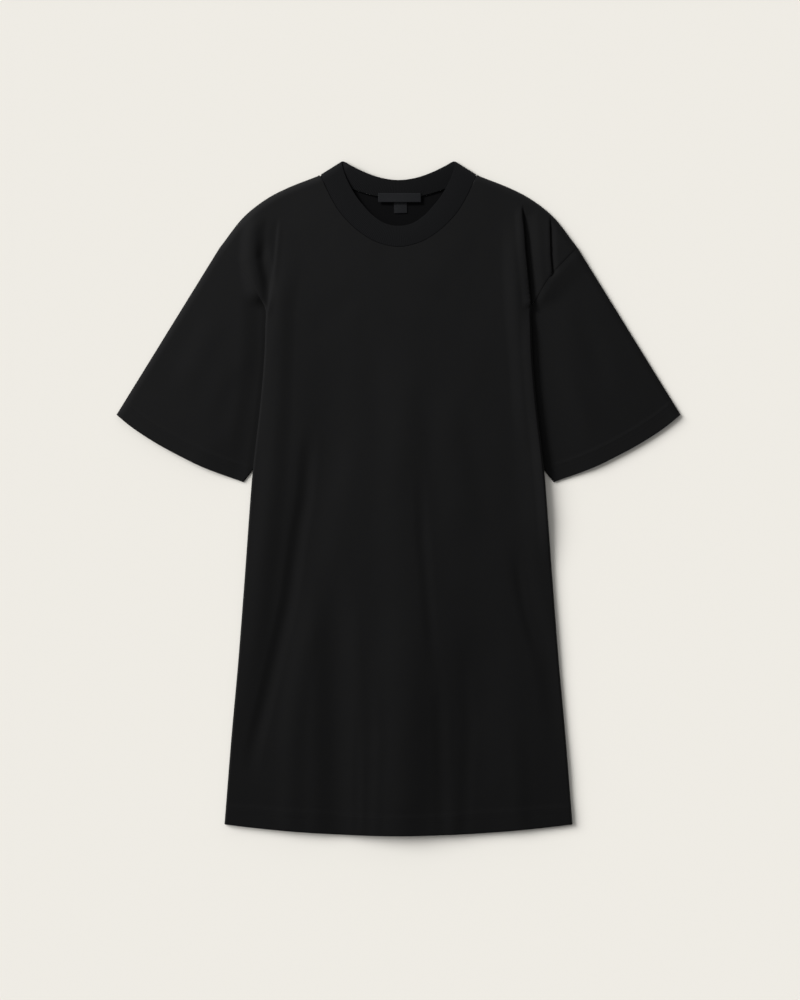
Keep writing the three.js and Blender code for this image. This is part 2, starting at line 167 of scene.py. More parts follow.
class SmoothLine:
    """A smooth curve in the plan of the dress, through the rows of a table."""

    STEPS = 16

    def __init__(self, rows: list[tuple[float, float]], closed: bool = False) -> None:
        """Run the curve through the rows.

        Args:
            rows: x and y of each point, in millimetres.
            closed: whether the last row joins the first.
        """
        points = np.array(rows, float) * MM
        self.sections = len(points) if closed else len(points) - 1
        if closed:
            padded = np.vstack([points[-1], points, points[0], points[1]])
        else:
            padded = np.vstack([2 * points[0] - points[1], points, 2 * points[-1] - points[-2]])
        self.padded = padded
        self.points = self.at_section(np.linspace(0.0, self.sections, self.sections * self.STEPS + 1))
        self.lengths = lengths_along(self.points)
        self.length = float(self.lengths[-1])

    def at_section(self, section: Array) -> Array:
        """Return the points at places counted in rows from the first one.

        Args:
            section: places along the curve, where 1.5 is halfway from the second row to the third.

        Returns:
            One row of x and y for each place.
        """
        section = np.atleast_1d(section)
        index = np.clip(np.floor(section).astype(int), 0, self.sections - 1)
        t = (section - index)[:, None]
        p0, p1, p2, p3 = (self.padded[index + k] for k in range(4))
        gap = [np.sqrt(np.linalg.norm(b - a, axis=1))[:, None] for a, b in ((p0, p1), (p1, p2), (p2, p3))]
        start = ((p1 - p0) / gap[0] - (p2 - p0) / (gap[0] + gap[1]) + (p2 - p1) / gap[1]) * gap[1]
        end = ((p2 - p1) / gap[1] - (p3 - p1) / (gap[1] + gap[2]) + (p3 - p2) / gap[2]) * gap[1]
        return (
            p1
            + start * t
            + (3 * (p2 - p1) - 2 * start - end) * t**2
            + (2 * (p1 - p2) + start + end) * t**3
        )

    def distance(self, x: Array, y: Array) -> Array:
        """Return how far places are from the curve."""
        return nearest(self.points, x, y)[0]

    def at(self, share: Array) -> Array:
        """Return the points at shares of the curve's length, one row of x and y for each."""
        along = np.clip(np.atleast_1d(share), 0.0, 1.0) * self.length
        return np.column_stack([np.interp(along, self.lengths, self.points[:, k]) for k in range(2)])


def nearest(line: Array, x: Array, y: Array) -> tuple[Array, Array]:
    """Find the nearest place of a line of points to each of many places.

    Args:
        line: the line's points, one row of x and y for each.
        x: x of the places.
        y: y of the places.

    Returns:
        The distances, and the shares of the line at which they are met.
    """
    best = np.full(x.shape, np.inf)
    share = np.zeros(x.shape)
    count = len(line) - 1
    for i in range(count):
        (ax, ay), (bx, by) = line[i], line[i + 1]
        dx, dy = bx - ax, by - ay
        t = np.clip(((x - ax) * dx + (y - ay) * dy) / max(dx * dx + dy * dy, 1e-18), 0.0, 1.0)
        distance = np.hypot(x - ax - t * dx, y - ay - t * dy)
        closer = distance < best
        best = np.where(closer, distance, best)
        share = np.where(closer, (i + t) / count, share)
    return best, share


def moved_left(points: Array, distance: float | Array) -> Array:
    """Return a line of points, each moved to the left of the line's direction."""
    way = np.gradient(points, axis=0)
    way /= np.linalg.norm(way, axis=1)[:, None]
    return points + np.column_stack([-way[:, 1], way[:, 0]]) * np.reshape(distance, (-1, 1))


def flip(points: Array) -> Array:
    """Return the mirror image of points across the middle of the dress."""
    return points * np.array([-1.0, 1.0])


class Side(Enum):
    """The two sides of the dress, as seen from above."""

    LEFT = -1
    RIGHT = 1


@dataclass(frozen=True)
class Fold:
    """A soft ridge or valley of the front, in millimetres.

    Attributes:
        path: x and y of the points that it follows.
        half: half its width.
        rise: its height over the cloth beside it, under 0 for a valley.
        taper: share of its length over which each end fades.
    """

    path: tuple[tuple[float, float], ...]
    half: float
    rise: float
    taper: float = 0.3

    def height(self, x: Array, y: Array) -> Array:
        """Return what the fold adds to the cloth's height at each place, in metres."""
        distance, share = nearest(np.array(self.path) * MM, x, y)
        ends = smooth(share / self.taper) * smooth((1.0 - share) / self.taper)
        across = 0.5 * (1.0 + np.cos(np.pi * np.minimum(distance / (self.half * MM), 1.0)))
        return self.rise * MM * ends * across


@dataclass(frozen=True)
class Tuck:
    """A crisp crease, where the cloth on one side stands over the cloth on the other, in millimetres.

    Attributes:
        path: x and y of the points that it follows, from the top down.
        low: the side on which the cloth is lower.
        up: how far the high side rises over the cloth.
        down: how far the low side sinks under it.
        lean: how far the high side hangs over the low one.
        steep: half the width of the step, seen from above.
        bank: width over which the high side rises.
        floor: width over which the low side comes back.
        gutter: depth of the narrow hollow at its foot.
        fade_in: share of its length over which it starts.
        fade_out: share of its length over which it ends.
    """

    path: tuple[tuple[float, float], ...]
    low: Side
    up: float
    down: float
    lean: float = 0.0
    steep: float = 1.6
    bank: float = 6.0
    floor: float = 16.0
    gutter: float = 0.0
    fade_in: float = 0.4
    fade_out: float = 0.4

    def across(self, x: Array, y: Array) -> tuple[Array, Array]:
        """Return the distance from the crease, over 0 on the low side, and its strength there."""
        line = np.array(self.path) * MM
        distance, share = nearest(line, x, y)
        order = line[::-1]
        middle = np.interp(y, order[:, 1], order[:, 0])
        signed = distance / MM * np.sign(x - middle) * self.low.value
        strength = smooth(share / self.fade_in) * smooth((1.0 - share) / self.fade_out)
        return signed, strength

    def height(self, x: Array, y: Array) -> Array:
        """Return what the tuck adds to the cloth's height at each place, in metres."""
        signed, strength = self.across(x, y)
        high = self.up * smooth(1.0 - (-signed - self.steep) / self.bank)
        low = -self.down * smooth(1.0 - (signed - self.steep) / self.floor)
        step = mix(self.up, -self.down, smooth((signed + self.steep) / (2.0 * self.steep)))
        profile = np.where(signed < -self.steep, high, np.where(signed > self.steep, low, step))
        foot = np.minimum(np.abs(signed - self.steep) / (1.7 * self.steep), 1.0)
        profile = profile - self.gutter * 0.5 * (1.0 + np.cos(np.pi * foot))
        return profile * strength * MM

    def shift(self, x: Array, y: Array) -> Array:
        """Return how far the tuck moves the cloth across at each place, in metres."""
        signed, strength = self.across(x, y)
        near = smooth(1.0 - (np.abs(signed) - self.steep) / 4.0)
        turned = mix(1.0, -0.4, np.clip((signed + self.steep) / (2.0 * self.steep), 0.0, 1.0))
        return self.lean * MM * near * turned * strength * self.low.value


# Folds and tucks in millimetres, in the order of the fields of their classes
MAIN_FOLDS = (
    Fold(
        ((-148, 376), (-146, 312), (-156, 255), (-159, 185), (-161, 110),
         (-167, 20), (-180, -90), (-195, -220), (-212, -350)), 24, 2.4,
    ),
    Fold(
        ((-186, 380), (-190.6, 352), (-193.5, 313), (-189, 285), (-184.5, 262), (-180, 236)),
        18, 3.4, 0.22,
    ),
    Fold(
        ((-112, 290), (-94, 180), (-90, 77), (-104, 10), (-119, -50),
         (-134, -133), (-156, -225), (-176, -310), (-190, -395)), 44, -2.6,
    ),
    Fold(((-98, -60), (-84, -150), (-81, -260), (-79, -370), (-78, -480), (-78, -600)), 34, -4),
    Fold(((-110, -110), (-127, -200), (-140, -300), (-143, -420), (-143, -560)), 22, 1.4),
    Fold(((-2, 240), (8, 120), (2, 25), (2, -60), (5, -150)), 42, 2),
    Fold(((4, -30), (8, -150), (10, -250), (7, -330), (2, -436), (0, -560), (0, -700)), 48, 4.2),
    Fold(((58, 160), (68, 77), (78, 10), (88, -70)), 34, 1.6),
    Fold(((92, -90), (104, -200), (101, -320), (108, -440), (110, -560)), 48, -2.2),
    Fold(((150, -33), (168, -127), (196, -222), (214, -350)), 22, -1.8),
    Fold(((150, 376), (153, 312), (156, 250), (166, 124), (174, 50)), 20, 2.8),
)
FINE_FOLDS = (
    Fold(((-166, 230), (-170, 170), (-174, 110), (-183, 40)), 10, 0.3, 0.25),
    Fold(
        ((173, 272), (173.6, 225), (175, 185), (180, 124), (187, 61), (191, 25), (196, -40), (200, -100)),
        15, 3.2, 0.2,
    ),
    Fold(((178, 170), (187, 61), (191, 25), (196, -40), (202, -120)), 42, 3.6, 0.35),
    Fold(((-177, 346), (-177, 316), (-171, 286), (-167, 256)), 12, -2.4, 0.35),
    Fold(
        ((-112, 110), (-118, 60), (-122, 0), (-130, -40),
         (-143, -133), (-167, -237), (-190, -330), (-197, -395)), 15, -2.0, 0.25,
    ),
    Fold(((28, 60), (31, -40), (40, -150), (48, -240)), 12, -1.1, 0.35),
    Fold(((52, -220), (56, -320), (58, -436), (58, -520)), 14, -1.0, 0.3),
    Fold(((150, -60), (165, -150), (186, -215)), 9, -0.6, 0.3),
    Fold(((-30, -190), (-26, -320), (-30, -436), (-30, -520)), 12, 0.7, 0.3),
    Fold(((-52, -260), (-54, -436), (-54, -560)), 9, -0.6, 0.3),
    Fold(((84, -180), (92, -300), (86, -436), (86, -560)), 14, -0.7, 0.3),
    Fold(((150, -250), (160, -436), (160, -560)), 18, 0.8, 0.3),
    Fold(((20, 300), (70, 250), (130, 215)), 26, -0.4, 0.4),
    Fold(((-30, 290), (-90, 240), (-140, 190)), 28, -0.4, 0.4),
)
TUCKS = (
    Tuck(
        ((161.4, 386), (162.0, 370), (165.1, 326), (167.7, 299.6), (170.4, 273.5), (172.6, 250.5)),
        Side.RIGHT, 2.2, 3.6, 2.0, 1.5, 10.0, 20.0, 3.2, 0.34, 0.05,
    ),
    Tuck(
        ((198.0, 376), (197.6, 352), (198.5, 318), (201.0, 290)),
        Side.RIGHT, 0.4, 1.8, 1.3, 1.2, 6.0, 9.0, 1.9, 0.4, 0.1,
    ),
    Tuck(
        ((-156.0, 372), (-157.9, 352), (-161.8, 309), (-169.6, 256), (-172.3, 236)),
        Side.LEFT, 0.45, 0.7, 0.0, 1.5, 7.0, 10.0, 0.0, 0.35, 0.15,
    ),
)
LEFT_SLEEVE_FOLDS = (
    Fold(((232, 250), (262, 190), (292, 120)), 26, 0.9, 0.35),
    Fold(((204, 180), (226, 120), (244, 70)), 22, -0.8, 0.35),
)
RIGHT_SLEEVE_FOLDS = (
    Fold(((228, 262), (256, 196), (280, 130)), 24, -0.9, 0.35),
    Fold(((206, 190), (236, 130), (262, 80)), 22, 0.9, 0.35),
)


@dataclass(frozen=True)
class Crumple:
    """Soft unevenness of cloth that lies loosely.

    Attributes:
        size: width of its swells, in metres.
        height: how far they rise and sink.
        seed: place in the noise, so that no two pieces are alike.
        stretch: how much longer the swells are along the garment than across it.
    """

    size: float
    height: float
    seed: float
    stretch: float = 2.0

    def at(self, x: Array, y: Array) -> Array:
        """Return the height of the unevenness at each place."""
        flat = zip((x / self.size).ravel(), (y / self.size / self.stretch).ravel())
        values = [noise.noise(Vector((a, b, self.seed))) for a, b in flat]
        return self.height * np.array(values).reshape(x.shape)


class Neckline:
    """The curves of the neckband, which the front and the back are cut to."""

    CURVED_GAP = 0.5 * MM
    NOTCH_GAP = 0.3 * MM
    SEAM_GAP = 0.1 * MM
    BACK_STAND = 4.6 * MM
    BACK_LIFT = 1.3 * MM
    BACK_WIDTH = 23 * MM
    POINTS = 160

    def __init__(self) -> None:
        """Run the seam edge and the free edge all round the neck."""
        back_again = [(-sx, sy, -fx, fy) for sx, sy, fx, fy in NECK_SECTIONS[-2:0:-1]]
        rows = NECK_SECTIONS + back_again
        self.seam = SmoothLine([(row[0], row[1]) for row in rows], closed=True)
        self.free = SmoothLine([(row[2], row[3]) for row in rows], closed=True)

    def front(self) -> Array:
        """Return the front's neckline, from the left shoulder to the right."""
        sections = np.linspace(NECK_ROWS - SHOULDER_SECTION, SHOULDER_SECTION, self.POINTS)
        points = self.seam.at_section(sections)
        notch = np.array(SHOULDER[-1]) * MM
        from_notch = np.hypot(np.abs(points[:, 0]) - notch[0], points[:, 1] - notch[1])
        gap = self.CURVED_GAP + self.NOTCH_GAP * (1.0 - smooth(from_notch / (2 * ROLL)))
        return moved_left(points, -gap)

    def back(self) -> Array:
        """Return the back's neckline, from the left shoulder to the right."""
        sections = np.linspace(-SHOULDER_SECTION, SHOULDER_SECTION, self.POINTS) % NECK_ROWS
        points = self.seam.at_section(sections)
        return points - np.array([0.0, self.SEAM_GAP])

    def height(self, section: Array, x: Array, y: Array) -> Array:
        """Return the height of the middle of the band.

        Args:
            section: places round the neck, counted in rows from the middle of the back.
            x: x of the places.
            y: y of the places.

        Returns:
            The heights.
        """
        past = np.minimum(section, NECK_ROWS - section) - SHOULDER_SECTION
        share = np.clip(nearest(self.back(), x, y)[0] / self.BACK_WIDTH, 0.0, 1.0)
        stand = smooth(-past) * mix(self.BACK_LIFT, self.BACK_STAND, share)
        behind = mix(RIB / 2 + self.SEAM_GAP, NECK_FOLD_HEIGHT, smooth(2.0 * past + 1.0)) + stand
        turn = np.vstack([self.seam.at_section(SHOULDER_SECTION), self.free.at_section(SHOULDER_SECTION)])
        inside, _ = nearest(turn, np.abs(x), y)
        before = mix(NECK_FOLD_HEIGHT, NECK_HEIGHT, roll(inside, ROLL))
        return np.where(past < 0, behind, before)


class Patch:
    """A surface between four curves in plan that meet at their ends."""

    def __init__(self, top: Curve, bottom: Curve, left: Curve, right: Curve) -> None:
        """Keep the curves, each a function from shares of its length to rows of x and y."""
        self.top, self.bottom, self.left, self.right = top, bottom, left, right

    def at(self, across: Array, along: Array) -> Array:
        """Return the points at shares of the width and of the length.

        Args:
            across: shares of the width, from the left curve to the right.
            along: shares of the length, from the top curve to the bottom.

        Returns:
            One row of x and y for each pair of shares.
        """
        s, r = across[:, None], along[:, None]
        ends = np.array([0.0, 1.0])
        t0, t1 = self.top(ends)
        b0, b1 = self.bottom(ends)
        curves = (1 - r) * self.top(across) + r * self.bottom(across)
        curves += (1 - s) * self.left(along) + s * self.right(along)
        corners = (1 - r) * ((1 - s) * t0 + s * t1) + r * ((1 - s) * b0 + s * b1)
        return curves - corners


def eased(count: int, edge: float) -> Array:
    """Return shares from 0 to 1 that stand closer together near both ends.

    Args:
        count: number of steps.
        edge: how much closer, from 0 to 1.

    Returns:
        The shares, one more than the steps.
    """
    u = np.linspace(0.0, 1.0, count + 1)
    return u - edge * np.sin(2.0 * np.pi * u) / (2.0 * np.pi)


def cloth_grid(columns: int, rows: int) -> tuple[Mesh, Array, Array]:
    """Start a sheet of cloth as a flat grid.

    Args:
        columns: squares across.
        rows: squares along.

    Returns:
        The mesh, and the column and row number of each vertex. Row 0 is the garment's top.
    """
    mesh = bmesh.new()
    bmesh.ops.create_grid(mesh, x_segments=columns, y_segments=rows, size=0.5)
    mesh.verts.ensure_lookup_table()
    places = np.array([v.co[:2] for v in mesh.verts])
    column = np.rint((places[:, 0] + 0.5) * columns).astype(int)
    row = np.rint((0.5 - places[:, 1]) * rows).astype(int)
    return mesh, column, row


def lay(mesh: Mesh, places: Array, pattern: Array) -> None:
    """Put each vertex of a sheet in its place and write its place on the flat cloth as a UV map.

    Args:
        mesh: the sheet.
        places: x, y and z of each vertex.
        pattern: where each vertex lies on the flat cloth, across and along, in metres.
    """
    for vertex, place in zip(mesh.verts, places):
        vertex.co = place
    layer = mesh.loops.layers.uv.new("cloth")
    mesh.verts.index_update()
    for face in mesh.faces:
        for loop in face.loops:
            loop[layer].uv = pattern[loop.vert.index]


def finished(name: str, mesh: Mesh, material: Material) -> Object:
    """Turn a mesh into an object of the scene, smooth-shaded and dressed.

    Args:
        name: the piece's name.
        mesh: its geometry, which is freed.
        material: its finish.

    Returns:
        The object, at the origin.
    """
    data = bpy.data.meshes.new(name)
    mesh.to_mesh(data)
    mesh.free()
    piece = bpy.data.objects.new(name, data)
    bpy.context.scene.collection.objects.link(piece)
    data.materials.append(material)
    data.polygons.foreach_set("use_smooth", [True] * len(data.polygons))
    return piece


def thicken(piece: Object, thickness: float, rounded: float) -> None:
    """Give a sheet its thickness and a rounded edge.

    Args:
        piece: the sheet, at the middle of its wall.
        thickness: of the cloth.
        rounded: radius of its edges.
    """
    solidify = piece.modifiers.new("thickness", "SOLIDIFY")
    solidify.thickness = thickness
    solidify.offset = 0.0
    solidify.use_even_offset = False
    bevel = piece.modifiers.new("edge", "BEVEL")
    bevel.width = rounded
    bevel.segments = 2
    bevel.limit_method = "ANGLE"
    bevel.angle_limit = math.radians(50)
    bevel.harden_normals = False


def sew(
    name: str,
    mesh: Mesh,
    places: Array,
    pattern: Array,
    material: Material,
    thickness: float,
    rounded: float,
) -> Object:
    """Lay a sheet in its place, close its seams and give it its finish and thickness.

    Args:
        name: the piece's name.
        mesh: the sheet, which is freed.
        places: x, y and z of each vertex.
        pattern: where each vertex lies on the flat cloth.
        material: its finish.
        thickness: of the cloth.
        rounded: radius of its edges.

    Returns:
        The piece.
    """
    lay(mesh, places, pattern)
    bmesh.ops.remove_doubles(mesh, verts=mesh.verts, dist=SEWN)
    bmesh.ops.recalc_face_normals(mesh, faces=mesh.faces)
    piece = finished(name, mesh, material)
    thicken(piece, thickness, rounded)
    return piece


class Graph:
    """A short way to lay out the nodes of a material or of the world."""

    def __init__(self, owner: bpy.types.ID, shader: str, surface: str) -> None:
        """Start with one shader that is joined to the output.

        Args:
            owner: the material or the world.
            shader: type of its shader, without its prefix.
            surface: name of the shader's result.
        """
        owner.use_nodes = True
        self.nodes = owner.node_tree.nodes
        self.links = owner.node_tree.links
        self.nodes.clear()
        self.shader = self.nodes.new("ShaderNode" + shader)
        kind = "World" if isinstance(owner, bpy.types.World) else "Material"
        output = self.nodes.new("ShaderNodeOutput" + kind)
        self.links.new(self.shader.outputs[surface], output.inputs["Surface"])

    def put(self, socket: bpy.types.NodeSocket, value: Value) -> None:
        """Give a socket a value, or link another socket to it."""
        if isinstance(value, bpy.types.NodeSocket):
            self.links.new(value, socket)
        else:
            socket.default_value = value

    def add(self, kind: str, settings: dict | None = None, **inputs: Value) -> bpy.types.Node:
        """Add a node.

        Args:
            kind: the node's type, without its prefix.
            settings: the node's own properties.
            **inputs: values, or sockets to link, by the input's name with _ for a space.

        Returns:
            The node.
        """
        node = self.nodes.new("ShaderNode" + kind)
        for key, value in (settings or {}).items():
            setattr(node, key, value)
        self.fill(node, **inputs)
        return node

    def fill(self, node: bpy.types.Node, **inputs: Value) -> None:
        """Set a node's inputs by name, with _ for a space."""
        for key, value in inputs.items():
            self.put(node.inputs[key.replace("_", " ")], value)

    def maths(self, operation: str, a: Value, b: Value = 0.0) -> bpy.types.NodeSocket:
        """Add a sum of two values or sockets and return its result."""
        node = self.add("Math", {"operation": operation})
        for socket, value in zip(node.inputs, (a, b)):
            self.put(socket, value)
        return node.outputs[0]


def material_graph(name: str) -> tuple[Material, Graph]:
    """Start a material, and return it and its nodes."""
    material = bpy.data.materials.new(name)
    return material, Graph(material, "BsdfPrincipled", "BSDF")


def shade(colour: tuple[float, float, float], share: float = 1.0) -> tuple[float, float, float, float]:
    """Return a share of a colour, with its alpha."""
    return (*(c * share for c in colour), 1.0)


@dataclass(frozen=True)
class KnitFinish:
    """A dull black knit: fine upright stitches, a little nap, and slightly uneven dye.

    Attributes:
        name: the material's name.
        colour: its mean colour, linear.
        wale: width of one column of stitches, in metres.
        depth: how deep the columns show.
        sheen: strength of the nap's light edge.
        roughness: of the fibres.
        gloss: strength of their mirror light.
        uneven: how far the dye goes to either side of the mean.
        flat: height of a stitch, as a share of its width.
    """

    name: str
    colour: tuple[float, float, float]
    wale: float
    depth: float
    sheen: float
    roughness: float
    gloss: float = 0.1
    uneven: float = 0.15
    flat: float = 0.8

    def build(self) -> Material:
        """Return the material."""
        material, graph = material_graph(self.name)
        place = graph.add("TexCoord").outputs["UV"]
        fibre = graph.add("TexNoise", Vector=place, Scale=1400.0, Detail=3.0, Roughness=0.7)
        cloud = graph.add("TexNoise", Vector=place, Scale=9.0, Detail=3.0, Roughness=0.5)
        bands = {"wave_type": "BANDS", "wave_profile": "SIN"}
        across = graph.add(
            "TexWave",
            bands | {"bands_direction": "X"},
            Vector=place,
            Scale=math.tau / (20.0 * self.wale),
            Distortion=0.6,
            Detail=1.0,
            Detail_Scale=2.0,
        )
        down = graph.add(
            "TexWave",
            bands | {"bands_direction": "Y"},
            Vector=place,
            Scale=math.tau / (20.0 * self.wale * self.flat),
            Distortion=0.8,
        )
        rows = graph.maths("MULTIPLY", down.outputs["Fac"], 0.35)
        stitches = graph.maths("ADD", across.outputs["Fac"], rows)
        relief = graph.maths("ADD", stitches, graph.maths("MULTIPLY", fibre.outputs["Fac"], 0.8))
        bump = graph.add("Bump", Height=relief, Strength=0.35, Distance=self.depth)
        dark = graph.maths("MULTIPLY", fibre.outputs["Fac"], 0.5)
        dark = graph.maths("ADD", dark, graph.maths("MULTIPLY", cloud.outputs["Fac"], 0.5))
        dye = graph.add(
            "MixRGB",
            Fac=dark,
            Color1=shade(self.colour, 1.0 - self.uneven),
            Color2=shade(self.colour, 1.0 + self.uneven),
        )
        graph.fill(
            graph.shader,
            Base_Color=dye.outputs["Color"],
            Normal=bump.outputs["Normal"],
            Roughness=self.roughness,
            Specular_IOR_Level=self.gloss,
            Sheen_Weight=self.sheen,
            Sheen_Roughness=0.45,
            Sheen_Tint=shade((1.0, 1.0, 1.0)),
        )
        return material


@dataclass(frozen=True)
class WovenFinish:
    """A smooth dark satin-woven tape.

    Attributes:
        name: the material's name.
        colour: its mean colour, linear.
    """

    name: str
    colour: tuple[float, float, float]

    def build(self) -> Material:
        """Return the material."""
        material, graph = material_graph(self.name)
        warp = graph.add(
            "TexBrick",
            Vector=graph.add("TexCoord").outputs["UV"],
            Scale=1500.0,
            Mortar_Size=0.06,
            Color1=shade(self.colour),
            Color2=shade(self.colour, 1.15),
            Mortar=shade(self.colour, 0.6),
        )
        bump = graph.add(
            "Bump", {"invert": True}, Height=warp.outputs["Fac"], Strength=0.3, Distance=0.1 * MM
        )
        graph.fill(
            graph.shader,
            Base_Color=warp.outputs["Color"],
            Normal=bump.outputs["Normal"],
            Roughness=0.55,
            Specular_IOR_Level=0.12,
        )
        return material


@dataclass(frozen=True)
class FloorFinish:
    """Smooth warm off-white paper under the dress.

    Attributes:
        name: the material's name.
        colour: its colour, linear.
    """

    name: str = "warm_paper"
    colour: tuple[float, float, float] = (0.774, 0.752, 0.701)

    def build(self) -> Material:
        """Return the material."""
        material, graph = material_graph(self.name)
        graph.fill(graph.shader, Base_Color=shade(self.colour), Roughness=1.0, Specular_IOR_Level=0.0)
        return material


# Columns: name, colour, wale, depth, sheen, roughness, gloss
JERSEY_FINISH = KnitFinish("black_jersey", (0.0060, 0.0060, 0.0062), 0.9 * MM, 0.12 * MM, 0.02, 0.85)
# Painted shade: the back's reverse face gets a darker colour than the front's jersey, to stand for the
# shade inside the dress under the front and the neckband.
INSIDE_PAINTED_SHADE_FINISH = KnitFinish(
    "black_jersey_reverse_painted_shade", (0.0026, 0.0026, 0.0029), 0.9 * MM, 0.12 * MM, 0.0, 0.95, 0.06
)
RIB_FINISH = KnitFinish("black_rib", (0.0046, 0.0047, 0.0052), 1.7 * MM, 0.5 * MM, 0.02, 0.9)
TAPE_FINISH = WovenFinish("dark_woven_tape", (0.0085, 0.009, 0.0105))
THREAD_FINISH = WovenFinish("black_thread", (0.010, 0.010, 0.0105))


class Panel:
    """A body panel: cloth between its top line, its two side edges and its hem."""

    def stretch(
        self, top_line: Array, edge: SmoothLine, half: float, corner: Array, hem_middle: float
    ) -> None:
        """Keep the outline and stretch the patch over it.

        Args:
            top_line: points of the shoulders and the neckline, from left to right.
            edge: the right edge, from the shoulder to the hem.
            half: half the width at the shoulders' outer ends.
            corner: x and y of the hem's right corner.
            hem_middle: y of the middle of the hem.
        """
        self.top_line, self.edge = top_line, edge
        self.half, self.corner, self.hem_middle = half, corner, hem_middle
        self.patch = Patch(self.top, self.hem, lambda r: flip(edge.at(r)), edge.at)

    def top(self, s: Array) -> Array:
        """Return points of the shoulders and the neckline at shares of the width."""
        x = mix(-self.half, self.half, np.atleast_1d(s))
        order = np.maximum.accumulate(self.top_line[:, 0])
        return np.column_stack([x, np.interp(x, order, self.top_line[:, 1])])

    def hem(self, s: Array) -> Array:
        """Return points of the hem at shares of the width."""
        corner_x, corner_y = self.corner
        x = mix(-corner_x, corner_x, np.atleast_1d(s))
        return np.column_stack([x, mix(self.hem_middle, corner_y, (x / corner_x) ** 2)])


